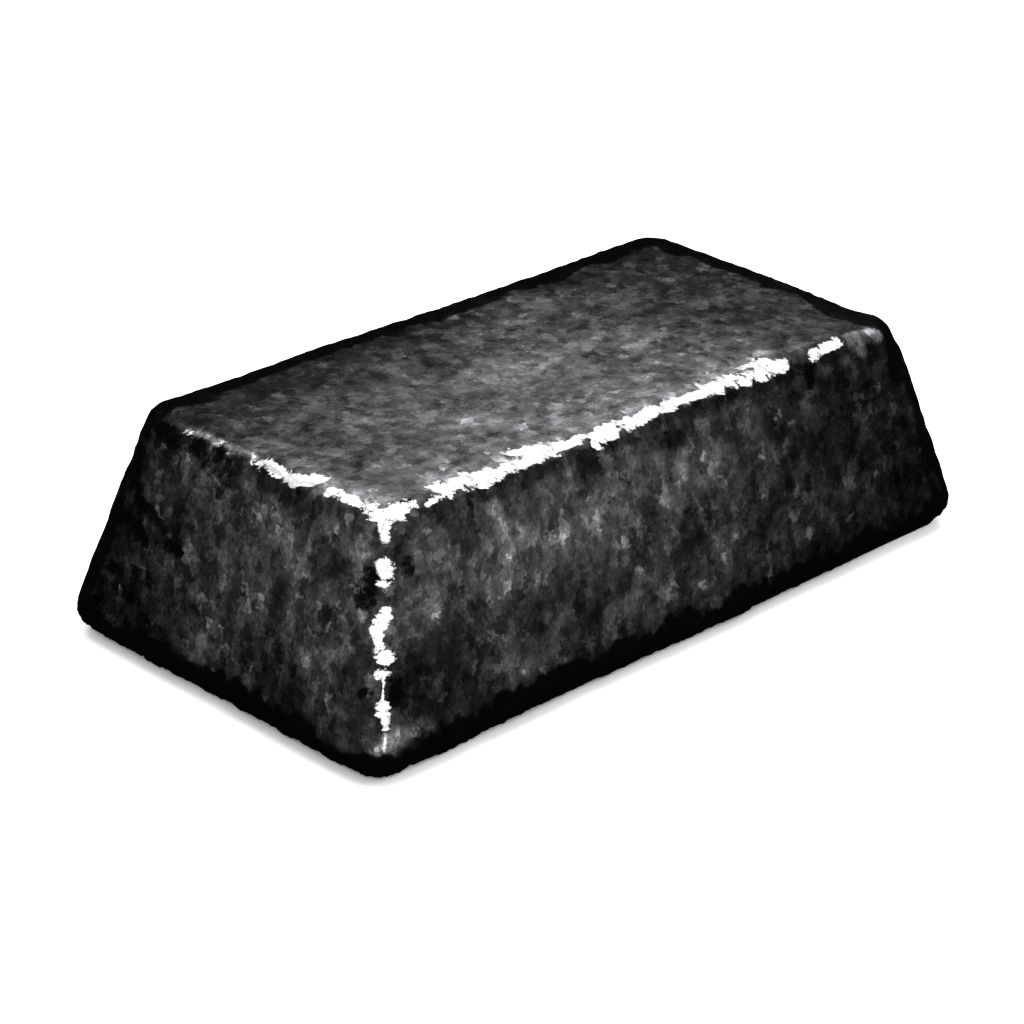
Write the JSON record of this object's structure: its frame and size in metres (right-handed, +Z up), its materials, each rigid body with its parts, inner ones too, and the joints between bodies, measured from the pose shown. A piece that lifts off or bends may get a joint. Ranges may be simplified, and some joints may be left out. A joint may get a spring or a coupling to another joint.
{
  "type": "tin ingot",
  "caption": "Rectangular cast metal ingot with leaning walls, rounded corners and edges, a flat top and a shallow shrinkage dish underneath; raw stock for melting or stacking.",
  "frame": {"origin": "middle of the footprint, on the surface that the ingot lies on", "axes": "+X along the ingot, +Y across it, +Z up from its as-cast face towards its top face"},
  "size_m": [0.176, 0.096, 0.05],
  "materials": {
    "cast_tin": "matte"
  },
  "bodies": {
    "root": {"ingot": "cast_tin"}
  },
  "joints": []
}
